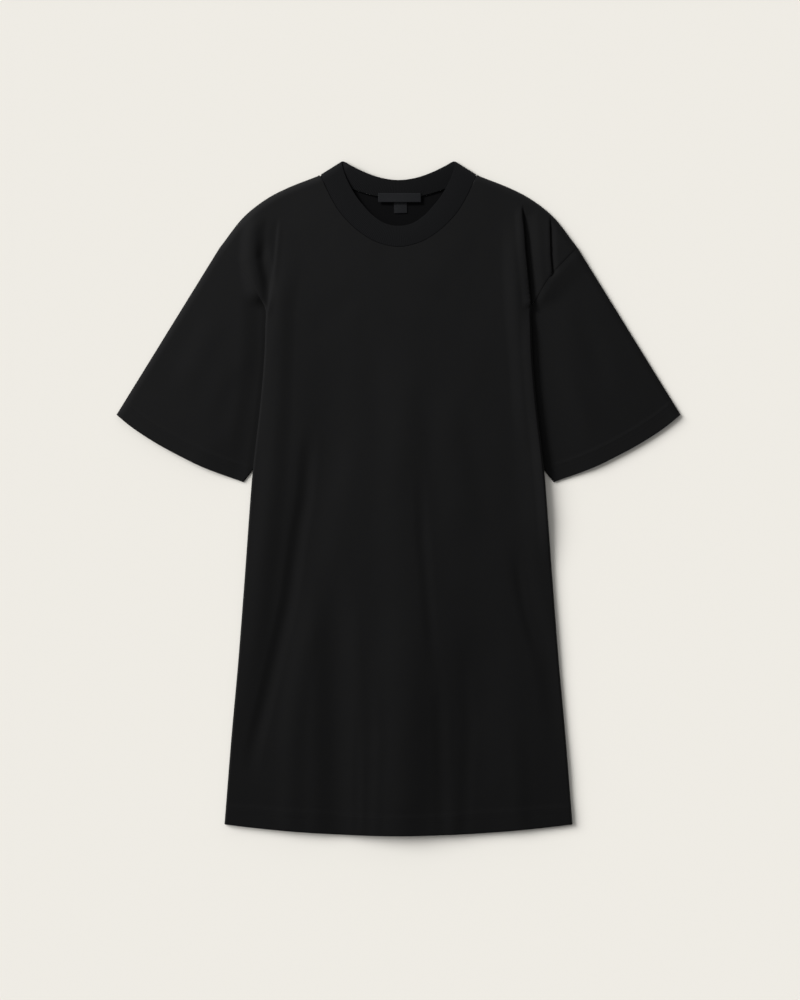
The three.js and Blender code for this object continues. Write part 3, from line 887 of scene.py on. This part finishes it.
@dataclass
class FrontPanel(Panel):
    """The front: one piece of jersey from the shoulders to the hem.

    Attributes:
        neckline: the curves of the neck.
        columns: squares across its grid.
        rows: squares along its grid.
        closer: how much closer the grid is where the tucks are.
        columns_closer: shares of the half width at which columns get closer, and the fades there.
        rows_closer: share of the length at which rows stop being closer, and the fade there.
        crumple: its soft unevenness.
        ripple: smaller unevenness on it.
        seam_ease: how far it sinks towards its side edges.
        ease_width: width over which it sinks.
        crossing_y: y at which the armhole seam goes under its fold.
    """

    neckline: Neckline
    columns: int = 296
    rows: int = 154
    closer: float = 1.6
    columns_closer: tuple[tuple[float, float], ...] = ((0.58, 0.06), (0.94, 0.05))
    rows_closer: tuple[float, float] = (0.14, 0.05)
    crumple: Crumple = Crumple(70 * MM, 0.9 * MM, 3.1)
    ripple: Crumple = Crumple(24 * MM, 0.22 * MM, 8.7, 1.4)
    seam_ease: float = 0.3 * MM
    ease_width: float = 34 * MM
    crossing_y: float = ARMHOLE_SHOWN[-1][1] * MM

    def __post_init__(self) -> None:
        """Join the shoulders and the neckline into the panel's top, and stretch the patch."""
        self.shoulder = SmoothLine(SHOULDER)
        line = self.shoulder.points
        top_line = np.vstack([flip(line[:-1]), self.neckline.front(), line[-2::-1]])
        edge = SmoothLine(ARMHOLE_SHOWN + FOLD_EDGE + SIDE)
        self.stretch(top_line, edge, SHOULDER[0][0] * MM, np.array(SIDE[-1]) * MM, HEM_MIDDLE_Y)

    def side_base(self, y: Array, cloth: Array) -> Array:
        """Return the height of the side edge, where the cloth beside it has the height given."""
        clear = UNDERARM[2][1] * MM
        low = mix(SIDE_DOWN, OVER_SLEEVE, smooth((y - CUFF_CLEAR_Y) / (clear - CUFF_CLEAR_Y)))
        high = mix(OVER_SLEEVE, cloth - SEAM_STEP, smooth((y - self.crossing_y) / PINCH_WIDTH))
        return np.where(y > self.crossing_y, high, low)

    def cloth(self, x: Array, y: Array) -> Array:
        """Return the height of the middle of the cloth at each place, as if it had no edges."""
        down = np.clip((LIFT_START_Y - y) / (LIFT_START_Y - HEM_MIDDLE_Y), 0.0, 1.0)
        bow = np.maximum(0.0, 1.0 - (x / self.corner[0]) ** 2) ** 2
        height = CHEST_HEIGHT + HEM_LIFT * smooth(down) * bow
        for fold in MAIN_FOLDS + FINE_FOLDS + TUCKS:
            height = height + fold.height(x, y)
        height = height + self.crumple.at(x, y) + self.ripple.at(x, y)
        edge = self.edge.distance(np.abs(x), y)
        upper = smooth((y - self.crossing_y) / PINCH_WIDTH)
        height = height - self.seam_ease * upper * (1.0 - smooth(edge / self.ease_width))
        return np.maximum(height, OVER_BACK)

    def height(self, x: Array, y: Array) -> Array:
        """Return the height of the middle of the cloth at each place, down to its edges."""
        height = self.cloth(x, y)
        edge = self.edge.distance(np.abs(x), y)
        width = np.where(y > self.crossing_y, SEAM_ROLL, SIDE_ROLL)
        height = mix(self.side_base(y, height), height, roll(edge, width))
        shoulder, _ = nearest(self.shoulder.points[::4], np.abs(x), y)
        return mix(SIDE_DOWN, height, roll(shoulder, ROLL))

    def column_shares(self) -> Array:
        """Return shares of the width for the columns, closest at the edges and the tucks."""
        x = np.linspace(-1.0, 1.0, 2001)
        close = 1.0
        for start, fade in self.columns_closer:
            close = close + self.closer * smooth((np.abs(x) - start) / fade)
        total = np.concatenate([[0.0], np.cumsum((close[1:] + close[:-1]) / 2)])
        return np.interp(np.linspace(0.0, total[-1], self.columns + 1), total, (x + 1.0) / 2.0)

    def row_shares(self) -> Array:
        """Return shares of the length for the rows, closest at the ends and the tucks."""
        y = np.linspace(0.0, 1.0, 1001)
        end, fade = self.rows_closer
        close = 1.0 + self.closer * (1.0 - smooth((y - end) / fade))
        total = np.concatenate([[0.0], np.cumsum((close[1:] + close[:-1]) / 2)])
        return np.interp(eased(self.rows, edge=0.55) * total[-1], total, y)

    def place_from_hem(self, s: Array, up: float) -> Array:
        """Return points in the middle of the wall at a distance from the hem."""
        plan = self.patch.at(s, np.full(s.shape, 1.0 - up / self.edge.length))
        height = self.height(plan[:, 0], plan[:, 1]) + HEM_RAISE
        return np.column_stack([plan, height])

    def build(self) -> Object:
        """Return the panel."""
        mesh, column, row = cloth_grid(self.columns, self.rows)
        across = self.column_shares()[column]
        along = self.row_shares()[row]
        plan = self.patch.at(across, along)
        height = self.height(plan[:, 0], plan[:, 1])
        hem_length = (1.0 - along) * self.edge.length
        height += HEM_RAISE * smooth((BODY_HEM - hem_length) / HEM_STEP + 0.5)
        shifts = sum(tuck.shift(plan[:, 0], plan[:, 1]) for tuck in TUCKS)
        places = np.column_stack([plan[:, 0] + shifts, plan[:, 1], height])
        return sew("front_cloth", mesh, places, plan, JERSEY_FINISH.build(), JERSEY, SOFT_EDGE)


@dataclass
class BackPanel(Panel):
    """The back: flat on the surface, just inside the edges of the front.

    Attributes:
        neckline: the curves of the neck.
        front: the front, whose edges it follows.
        columns: squares across its grid.
        rows: squares along its grid.
        crumple: its soft unevenness where the neck leaves it bare.
        armhole_inset: how far its armholes lie inside the front's.
        bare_from: y above which the neck leaves it bare.
        bare_half: half the width of the bare part.
        bare_fade: width over which its unevenness fades.
    """

    neckline: Neckline
    front: FrontPanel
    columns: int = 110
    rows: int = 150
    crumple: Crumple = Crumple(38 * MM, 0.25 * MM, 21.4)
    armhole_inset: float = 0.6 * MM
    bare_from: float = 300 * MM
    bare_half: float = 90 * MM
    bare_fade: float = 30 * MM

    def __post_init__(self) -> None:
        """Run the outline and stretch the patch."""
        shoulder = moved_left(self.front.shoulder.points, BACK_INSET)
        top_line = np.vstack([flip(shoulder[:-1]), self.neckline.back(), shoulder[-2::-1]])
        rows = ARMHOLE_SHOWN + ARMHOLE_HIDDEN[:-1] + UNDERARM[:3] + FOLD_EDGE[-1:] + SIDE
        line = SmoothLine(rows).points
        inside = smooth((UNDERARM[0][1] * MM + ROLL - line[:, 1]) / ROLL)
        line = moved_left(line, mix(-self.armhole_inset, -BACK_INSET, inside))
        line[0] = shoulder[0]
        edge = SmoothLine([tuple(point / MM) for point in line])
        self.stretch(top_line, edge, float(shoulder[0][0]), edge.points[-1], HEM_MIDDLE_Y + BACK_HEM_SHORT)

    def build(self) -> Object:
        """Return the panel."""
        mesh, column, row = cloth_grid(self.columns, self.rows)
        across, along = eased(self.columns, edge=0.3), eased(self.rows, edge=0.5)
        plan = self.patch.at(across[column], along[row])
        x, y = plan.T
        bare = smooth((y - self.bare_from) / self.bare_fade)
        bare = bare * smooth((self.bare_half - np.abs(x)) / self.bare_fade)
        height = LYING + bare * np.abs(self.crumple.at(x, y))
        places = np.column_stack([plan, height])
        # The back's darker finish is painted shade inside the dress.
        return sew("back_cloth", mesh, places, plan, INSIDE_PAINTED_SHADE_FINISH.build(), JERSEY, SOFT_EDGE)


@dataclass
class Sleeve:
    """A wide sleeve: a tube of jersey pressed flat, with its underarm seam under the front's fold.

    Attributes:
        side: the side that it is on.
        front: the front, whose folds run on over the armhole seam.
        folds: its own soft folds, as on the right half.
        crumple: its soft unevenness.
        fullness: height of its upper layer at its fullest.
        pinch_width: from the front's fold to where it is full.
        gutter: depth of the hollow right beside the front's fold.
        upper: squares across its upper layer.
        lower: squares across its lower layer.
        rows: squares from the armhole to the cuff.
        armhole_tuck: how far its armhole edge lies outside the seam.
        underarm_lip: width over which both layers come together at the underarm.
        top_lip: width over which the lower layer turns up at the upper edge.
        seam_dip: how far it sinks beside the armhole seam.
        seam_reach: width over which it sinks.
        gutter_width: width of the hollow at its upper end.
        gutter_wider: how much wider the hollow is at its lower end.
        joined_width: width over which it takes the front's height.
        grain: angle of its knit to the front's.
    """

    side: Side
    front: FrontPanel
    folds: tuple[Fold, ...]
    crumple: Crumple
    fullness: float
    pinch_width: float
    gutter: float
    upper: int = 70
    lower: int = 40
    rows: int = 96
    armhole_tuck: float = 0.3 * MM
    underarm_lip: float = 1.3 * MM
    top_lip: float = 2.6 * MM
    seam_dip: float = 0.5 * MM
    seam_reach: float = 9 * MM
    gutter_width: float = 4.5 * MM
    gutter_wider: float = 6 * MM
    joined_width: float = 34 * MM
    grain: float = math.radians(-50)

    def __post_init__(self) -> None:
        """Run the armhole, the underarm, the fold and the cuff, and stretch the patch."""
        armhole = SmoothLine(ARMHOLE_SHOWN + ARMHOLE_HIDDEN).points
        armhole = moved_left(armhole, -self.armhole_tuck)[::-1]
        self.armhole = SmoothLine([tuple(point / MM) for point in armhole])
        start = tuple(armhole[0] / MM)
        self.underarm = SmoothLine([start] + UNDERARM[1:])
        self.cuff = SmoothLine(CUFF)
        self.fold = SmoothLine([tuple(armhole[-1] / MM), CUFF[-1]])
        self.front_fold = SmoothLine(ARMHOLE_SHOWN[-1:] + FOLD_EDGE)
        self.patch = Patch(self.armhole.at, self.cuff.at, self.underarm.at, self.fold.at)

    def upper_height(self, x: Array, y: Array) -> Array:
        """Return the height of the middle of the upper layer at each place."""
        beside_fold = self.front_fold.distance(x, y)
        from_front = beside_fold - PINCH_START
        from_underarm = self.underarm.distance(x, y)
        full = smooth(from_front / self.pinch_width) * smooth(from_underarm / UNDERARM_WIDTH)
        down = np.clip((self.front.crossing_y - y) / self.front.crossing_y, 0.0, 1.0)
        out_of_gutter = smooth(beside_fold / (self.gutter_width + self.gutter_wider * down))
        height = mix(SLEEVE_PINCHED + self.gutter * out_of_gutter, self.fullness, full)
        for fold in self.folds:
            height = height + fold.height(x, y) * np.sqrt(full)
        height = height + self.crumple.at(x, y) * full
        from_seam = self.armhole.distance(x, y)
        joined = smooth((y - self.front.crossing_y) / PINCH_WIDTH)
        joined = joined * (1.0 - smooth(from_seam / self.joined_width))
        height = mix(height, self.front.cloth(x * self.side.value, y), joined)
        shown = smooth((y - self.front.crossing_y) / (0.4 * PINCH_WIDTH))
        height = height - self.seam_dip * shown * (1.0 - smooth(from_seam / self.seam_reach))
        height = mix(SLEEVE_EDGE, height, roll(self.fold.distance(x, y), ROLL))
        return mix((LYING + SLEEVE_PINCHED) / 2, height, roll(from_underarm, self.underarm_lip))

    def lower_height(self, x: Array, y: Array) -> Array:
        """Return the height of the middle of the lower layer at each place."""
        from_fold = self.fold.distance(x, y)
        from_underarm = self.underarm.distance(x, y)
        height = mix(SLEEVE_EDGE, LYING, roll(from_fold, self.top_lip))
        return mix((LYING + SLEEVE_PINCHED) / 2, height, roll(from_underarm, self.underarm_lip))

    def place_from_cuff(self, s: Array, up: float) -> Array:
        """Return points in the middle of the upper wall at a distance from the cuff's edge."""
        cuff = self.patch.at(s, np.ones(s.shape))
        above = self.patch.at(s, np.full(s.shape, 0.9))
        way = (above - cuff) / np.linalg.norm(above - cuff, axis=1)[:, None]
        plan = cuff + way * up
        height = self.upper_height(plan[:, 0], plan[:, 1])
        height = height + HEM_RAISE * smooth((height - SLEEVE_PINCHED) / HEM_STEP)
        return np.column_stack([plan[:, 0] * self.side.value, plan[:, 1], height])

    def build(self) -> Object:
        """Return the sleeve."""
        mesh, column, row = cloth_grid(self.upper + self.lower, self.rows)
        upper, lower = eased(self.upper, edge=0.85), eased(self.lower, edge=0.85)
        across = np.concatenate([upper, lower[-2::-1]])[column]
        along = eased(self.rows, edge=0.5)[row]
        plan = self.patch.at(across, along)
        x, y = plan.T
        height = np.where(column <= self.upper, self.upper_height(x, y), self.lower_height(x, y))
        from_cuff = self.cuff.distance(x, y)
        turned = smooth((CUFF_HEM - from_cuff) / HEM_STEP + 0.5) * (column <= self.upper)
        height = height + HEM_RAISE * turned * smooth((height - SLEEVE_PINCHED) / HEM_STEP)
        c, s = math.cos(self.grain), math.sin(self.grain)
        turn = np.array([[c, -s], [s, c]])
        places = np.column_stack([x * self.side.value, y, height])
        name = f"sleeve_cloth_{self.side.name.lower()}"
        return sew(name, mesh, places, plan @ turn, JERSEY_FINISH.build(), JERSEY, SOFT_EDGE)


@dataclass
class Neckband:
    """A doubled ring of rib sewn to the neck, flat behind and over the chest before.

    Attributes:
        neckline: the curves that it runs between.
        around: squares round the neck.
        across: squares from the seam to the free edge.
        dome: how much fuller it is along its middle.
    """

    neckline: Neckline
    around: int = 400
    across: int = 14
    dome: float = 0.35 * MM

    def build(self) -> Object:
        """Return the band."""
        mesh, column, row = cloth_grid(self.around, self.across)
        sections = np.arange(self.around + 1) / self.around * NECK_ROWS % NECK_ROWS
        section = sections[column]
        inward = eased(self.across, edge=0.5)[row][:, None]
        seam = self.neckline.seam.at_section(section)
        free = self.neckline.free.at_section(section)
        plan = mix(seam, free, inward)
        height = self.neckline.height(section, plan[:, 0], plan[:, 1])
        height = height + self.dome * (np.sin(np.pi * inward[:, 0]) - 0.5)
        length = lengths_along(self.neckline.free.at_section(sections))
        width = np.linalg.norm(free - seam, axis=1) * inward[:, 0]
        places = np.column_stack([plan, height])
        pattern = np.column_stack([length[column], width])
        return sew("neckband_rib", mesh, places, pattern, RIB_FINISH.build(), RIB, RIB_EDGE)


@dataclass
class Tape:
    """A flat piece of woven tape inside the back of the neck.

    Attributes:
        name: the piece's name.
        x: middle of its width.
        y: middle of its depth.
        z: height of its middle.
        width: from side to side.
        depth: from its upper edge to its lower one.
        bow: how much its middle stands off.
        turn: angle in plan.
    """

    name: str
    x: float
    y: float
    z: float
    width: float
    depth: float
    bow: float
    turn: float = 0.0

    def build(self) -> Object:
        """Return the tape."""
        mesh = bmesh.new()
        bmesh.ops.create_grid(mesh, x_segments=36, y_segments=12, size=0.5)
        u, v, _ = np.array([vertex.co[:] for vertex in mesh.verts]).T
        pattern = np.column_stack([u * self.width, v * self.depth])
        rise = self.bow * np.cos(np.pi * u) * (0.6 - 0.8 * v)
        turn = np.array(Matrix.Rotation(self.turn, 3, "Z"))
        places = np.column_stack([pattern, rise]) @ turn.T + np.array([self.x, self.y, self.z])
        return sew(self.name, mesh, places, pattern, TAPE_FINISH.build(), TAPE, TAPE_EDGE)


@dataclass
class TwinStitching:
    """Two rows of stitches beside each other, as a twin needle leaves them over a hem.

    Attributes:
        name: the piece's name.
        rows: for each row, points along it and the cloth's upward normals there.
        pitch: from one stitch to the next.
        thread: thickness of the thread.
        covers: half a stitch's length, as a share of the pitch.
        flat: height of the thread, as a share of its thickness.
    """

    name: str
    rows: list[tuple[Array, Array]]
    pitch: float = 3.0 * MM
    thread: float = 0.42 * MM
    covers: float = 0.42
    flat: float = 0.8

    def build(self) -> Object:
        """Return the stitches as one mesh."""
        mesh = bmesh.new()
        for points, normals in self.rows:
            lengths = lengths_along(points)
            count = int(lengths[-1] / self.pitch)
            half = self.covers * self.pitch
            for middle in (np.arange(count) + 0.5) * lengths[-1] / count:
                start, end, up = (
                    Vector([np.interp(middle + d, lengths, rows[:, k]) for k in range(3)])
                    for d, rows in ((-half, points), (half, points), (0.0, normals))
                )
                self.stitch(mesh, start, end, up)
        return finished(self.name, mesh, THREAD_FINISH.build())

    def stitch(self, mesh: Mesh, start: Vector, end: Vector, up: Vector) -> None:
        """Add one stitch to a mesh.

        Args:
            mesh: what it is added to.
            start: where it comes out of the cloth.
            end: where it goes back in.
            up: the cloth's upward normal there.
        """
        way = (end - start).normalized()
        side = up.normalized().cross(way).normalized()
        turn = Matrix((way, side, way.cross(side))).transposed().to_4x4()
        thick = self.thread / 2
        size = Matrix.Diagonal((self.covers * self.pitch, thick, thick * self.flat, 1.0))
        place = Matrix.Translation((start + end) / 2) @ turn @ size
        bmesh.ops.create_uvsphere(mesh, u_segments=6, v_segments=4, radius=1.0, matrix=place)


class Lamp(Enum):
    """The kinds of light that the studio uses."""

    SUN = "SUN"
    AREA = "AREA"


@dataclass
class Studio:
    """The floor, the soft light and the camera over the dress.

    Attributes:
        camera: where the camera hangs.
        millimetres_a_pixel: scale of the picture at the floor.
        sensor: width of the camera's sensor, in millimetres.
        picture_height: in pixels.
        sun: strength of the light on the floor.
        sun_spread: its angle, which softens the shadow.
        sun_from: where it comes from.
        key: strength of the light on the cloth.
        key_from: where it stands.
        key_size: its diameter.
        fill: mean strength of the light from all round.
        fill_from: the side from which most of it comes.
    """

    camera: tuple[float, float, float] = (1.97 * MM, -1.6 * MM, 5.0)
    millimetres_a_pixel: float = 1.31
    sensor: float = 36.0
    picture_height: float = 1000.0
    sun: float = 3.9
    sun_spread: float = math.radians(40)
    sun_from: tuple[float, float, float] = (-1.35, 0.62, 1.0)
    key: float = 63.0
    key_from: tuple[float, float, float] = (-1.4, 1.6, 0.94)
    key_size: float = 0.56
    fill: float = 0.42
    fill_from: tuple[float, float, float] = (-0.76, 0.5, 0.0)

    def floor(self) -> Object:
        """Lay the floor and return it."""
        mesh = bmesh.new()
        bmesh.ops.create_grid(mesh, x_segments=1, y_segments=1, size=6.0)
        bmesh.ops.translate(mesh, verts=mesh.verts, vec=(0.0, 0.0, -0.05 * MM))
        floor = finished("floor", mesh, FloorFinish().build())
        floor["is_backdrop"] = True
        return floor

    def lit(
        self, name: str, kind: Lamp, strength: float, place: Vector, targets: list[Object]
    ) -> Object:
        """Add a light that shines on some objects only.

        Args:
            name: the light's name.
            kind: the kind of light.
            strength: its strength.
            place: where it stands, looking at the dress.
            targets: the objects that it lights.

        Returns:
            The light.
        """
        data = bpy.data.lights.new(name, kind.value)
        data.energy = strength
        light = bpy.data.objects.new(name, data)
        light.location = place
        light.rotation_euler = place.to_track_quat("Z", "Y").to_euler()
        bpy.context.scene.collection.objects.link(light)
        receivers = bpy.data.collections.new(f"lit_by_{name}")
        for target in targets:
            receivers.objects.link(target)
        light.light_linking.receiver_collection = receivers
        return light

    def light(self, pieces: list[Object], floor: Object) -> None:
        """Set a soft light on the floor and one on the cloth from the upper left, and a fill.

        Args:
            pieces: the pieces of the dress.
            floor: the floor.
        """
        sun = self.lit("floor_key", Lamp.SUN, self.sun, Vector(self.sun_from), [floor])
        sun.data.angle = self.sun_spread
        key = self.lit("cloth_key", Lamp.AREA, self.key, Vector(self.key_from), pieces)
        key.data.shape = "DISK"
        key.data.size = self.key_size
        world = bpy.data.worlds.new("fill")
        graph = Graph(world, "Background", "Background")
        towards = graph.add("VectorMath", {"operation": "DOT_PRODUCT"})
        graph.put(towards.inputs[0], graph.add("TexCoord").outputs["Generated"])
        graph.put(towards.inputs[1], self.fill_from)
        strength = graph.add(
            "MapRange",
            Value=towards.outputs["Value"],
            From_Min=-1.0,
            From_Max=1.0,
            To_Min=0.0,
            To_Max=2.0 * self.fill,
        )
        graph.fill(graph.shader, Color=shade((1.0, 1.0, 1.0)), Strength=strength.outputs["Result"])
        bpy.context.scene.world = world

    def look_down(self) -> None:
        """Hang the camera over the dress, looking straight down."""
        data = bpy.data.cameras.new("over_the_dress")
        data.sensor_width = self.sensor
        seen = self.picture_height * self.millimetres_a_pixel * MM
        data.lens = self.sensor * self.camera[2] / seen
        camera = bpy.data.objects.new("over_the_dress", data)
        camera.location = self.camera
        bpy.context.scene.collection.objects.link(camera)
        bpy.context.scene.camera = camera

    def build(self, pieces: list[Object]) -> None:
        """Set up everything round the pieces of the dress."""
        self.light(pieces, self.floor())
        self.look_down()
        bpy.context.scene.view_settings.view_transform = "Standard"
        bpy.context.scene.view_settings.look = "None"


def join_dress(piece: Object, slot: str, *nodes: str) -> Object:
    """Fix a piece to the dress and hide the solids that it stands for.

    Args:
        piece: the piece.
        slot: not used.
        *nodes: the solids that it replaces.

    Returns:
        The piece.
    """
    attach(piece, BODY)
    if nodes:
        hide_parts(*nodes)
    log.info("%s: %d faces", piece.name, len(piece.data.polygons))
    return piece


def row_points(surface: Surface, shift: float, count: int = 240) -> tuple[Array, Array]:
    """Return points of a surface along one of its rows, raised to its outer face, and its normals.

    Args:
        surface: a function from shares across and an offset to points of the middle of the wall.
        shift: thickness above the middle.
        count: number of points.

    Returns:
        The points and the upward normals.
    """
    s = np.linspace(0.03, 0.97, count)
    here = surface(s, 0.0)
    along = np.gradient(here, axis=0)
    beside = surface(s, 1.0 * MM) - here
    normals = np.cross(along, beside)
    normals /= np.linalg.norm(normals, axis=1)[:, None]
    normals *= np.sign(normals[:, 2])[:, None]
    return here + normals * shift, normals


def stitch_rows(surface: Surface, hem: float) -> list[tuple[Array, Array]]:
    """Return the two rows of a twin needle near the upper edge of a hem.

    Args:
        surface: a function from shares across and a distance from the edge to points of the cloth.
        hem: depth of the turned hem.

    Returns:
        The points and the normals of each row.
    """
    rows = []
    for up in (hem - STITCH_IN, hem - STITCH_IN - NEEDLE_APART):
        rows.append(row_points(lambda s, d, up=up: surface(s, up + d), JERSEY / 2 + THREAD_OVER))
    return rows


# Columns: name, x, y, z, width, depth, bow, turn
LABEL = Tape("woven_label", 1.4 * MM, 394.2 * MM, 4.0 * MM, 56 * MM, 11.8 * MM, 0.6 * MM)
SIZE_TAB = Tape("size_tape", 2.6 * MM, 382.2 * MM, 1.95 * MM, 17 * MM, 16.5 * MM, 0.2 * MM, 0.02)


@dataclass(frozen=True)
class Cut:
    """The flat size of a piece of cloth, as it is cut, for what of it shows.

    Attributes:
        width: of the smallest rectangle that it is cut from, in metres.
        length: of that rectangle.
        area: of the cloth itself, in square metres.
        under: names of what it lies on.
    """

    width: float
    length: float
    area: float
    under: tuple[str, ...]


def main() -> None:
    """Build the dress and the studio round it."""
    logging.basicConfig(level=logging.INFO, format="%(message)s")
    neckline = Neckline()
    front = FrontPanel(neckline)
    front_piece = join_dress(front.build(), "jersey", "front_panel")
    back_piece = join_dress(BackPanel(neckline, front).build(), "jersey", "back_panel")
    band = join_dress(Neckband(neckline).build(), "rib", "neckband")
    label = join_dress(LABEL.build(), "woven_label", "neck_label")
    tab = join_dress(SIZE_TAB.build(), "woven_label", "size_tab")
    pieces = [front_piece, back_piece, band, label, tab]
    hem = TwinStitching("hem_stitches", stitch_rows(front.place_from_hem, BODY_HEM))
    join_dress(hem.build(), "jersey")
    sides = (
        (Side.LEFT, LEFT_SLEEVE_FOLDS, 5.3, 6.6 * MM, 30 * MM, 0.8 * MM),
        (Side.RIGHT, RIGHT_SLEEVE_FOLDS, 12.9, 5.4 * MM, 60 * MM, 0.9 * MM),
    )
    for side, folds, seed, fullness, pinch_width, gutter in sides:
        crumple = Crumple(46 * MM, 0.5 * MM, seed, 1.3)
        sleeve = Sleeve(side, front, folds, crumple, fullness, pinch_width, gutter)
        name = side.name.lower()
        piece = join_dress(sleeve.build(), "jersey", f"sleeve_{name}")
        stitches = TwinStitching(f"cuff_stitches_{name}", stitch_rows(sleeve.place_from_cuff, CUFF_HEM))
        join_dress(stitches.build(), "jersey")
        pieces.append(piece)
    for piece in pieces:
        log.info("%s: %.4f square metres of cloth", piece.name, sum(p.area for p in piece.data.polygons))
    Studio().build(list(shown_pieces()))


if __name__ == "__main__":
    main()
